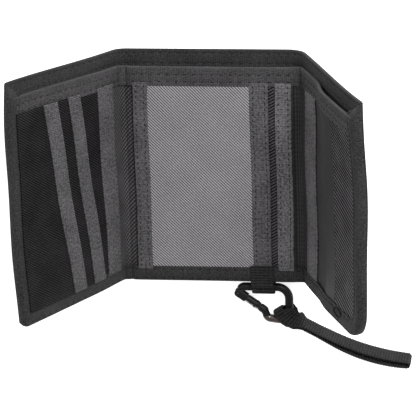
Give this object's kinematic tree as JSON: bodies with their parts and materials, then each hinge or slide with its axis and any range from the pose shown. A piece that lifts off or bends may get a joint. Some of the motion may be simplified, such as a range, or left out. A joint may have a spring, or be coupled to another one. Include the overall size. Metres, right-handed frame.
{
  "type": "trifold wallet with leash",
  "caption": "Three-panel nylon wallet lying open, with card pockets, a mesh window, a coin pocket and a webbing leash on a small snap hook.",
  "frame": {"origin": "middle of the centre panel's flat back face, on which the open wallet lies", "axes": "+Z away from the back towards the pockets, +Y towards the wallet's open top edge, +X from the card-pocket wing towards the coin-pocket wing"},
  "size_m": [0.1667, 0.1464, 0.0781],
  "materials": {
    "shell_nylon": "dark charcoal coated nylon, plain weave",
    "liner_nylon": "dark smooth lining nylon",
    "binding_tape": "dark grey ribbed binding tape with two rows of stitching",
    "pocket_mesh": "black open mesh",
    "window_mesh": "light grey fine mesh, see-through",
    "webbing": "dark grey ribbed webbing",
    "hook_metal": "glossy black coated metal",
    "steel": "plain steel"
  },
  "bodies": {
    "centre": {"centre_shell": "shell_nylon", "centre_shell_top_binding": "binding_tape", "centre_liner": "liner_nylon", "centre_liner_top_binding": "binding_tape", "centre_bottom_binding": "binding_tape", "slip_pocket": "pocket_mesh", "slip_pocket_tape": "binding_tape", "id_window_left_tape": "binding_tape", "id_window_mesh": "window_mesh", "id_window_mouth_tape": "binding_tape", "leash_loop": "webbing", "left_fold_shell": "shell_nylon", "left_fold_liner": "liner_nylon", "right_fold_shell": "shell_nylon", "right_fold_liner": "liner_nylon"},
    "left_wing": {"left_shell": "shell_nylon", "left_shell_top_binding": "binding_tape", "left_liner": "liner_nylon", "left_liner_top_binding": "binding_tape", "left_bottom_binding": "binding_tape", "left_edge_binding": "binding_tape", "card_pocket_1": "pocket_mesh", "card_pocket_1_tape": "binding_tape", "card_pocket_2": "pocket_mesh", "card_pocket_2_tape": "binding_tape", "card_pocket_3": "pocket_mesh", "card_pocket_3_tape": "binding_tape"},
    "right_wing": {"right_shell": "shell_nylon", "right_shell_top_binding": "binding_tape", "right_liner": "liner_nylon", "right_liner_top_binding": "binding_tape", "right_bottom_binding": "binding_tape", "right_edge_binding": "binding_tape", "fold_trim_tape": "binding_tape", "coin_pocket_hem": "liner_nylon", "coin_pocket": "pocket_mesh"},
    "hook": {"hook_frame": "hook_metal"},
    "gate": {"hook_gate": "hook_metal", "hook_gate_pin": "steel", "hook_gate_spring": "steel"},
    "strap": {"leash_strap": "webbing"}
  },
  "joints": [
    {"name": "left_fold", "type": "hinge", "parent": "centre", "child": "left_wing", "pos_m": [-0.03733, 0, 0.007], "axis": [0, 1, 0], "range_deg": [-61.6, 118.4], "deforming": ["left_fold_shell", "left_fold_liner"]},
    {"name": "right_fold", "type": "hinge", "parent": "centre", "child": "right_wing", "pos_m": [0.03513, 0, 0.00975], "axis": [0, -1, 0], "range_deg": [-66.3, 113.7], "deforming": ["right_fold_shell", "right_fold_liner"]},
    {"name": "hook_swing", "type": "hinge", "parent": "centre", "child": "hook", "pos_m": [0.0225, -0.0566, 0.0031], "axis": [-1, 0, 0], "range_deg": [0, 75]},
    {"name": "gate_open", "type": "hinge", "parent": "hook", "child": "gate", "pos_m": [0.0108, -0.0594, 0.0031], "axis": [0, 0, 1], "range_deg": [0, 12], "stiffness_Nm_per_rad": 0.02, "springref_deg": -11.46},
    {"name": "strap_swing", "type": "hinge", "parent": "hook", "child": "strap", "pos_m": [0.0294, -0.06758, 0.0031], "axis": [0, 0, 1], "range_deg": [-9, 8]}
  ]
}
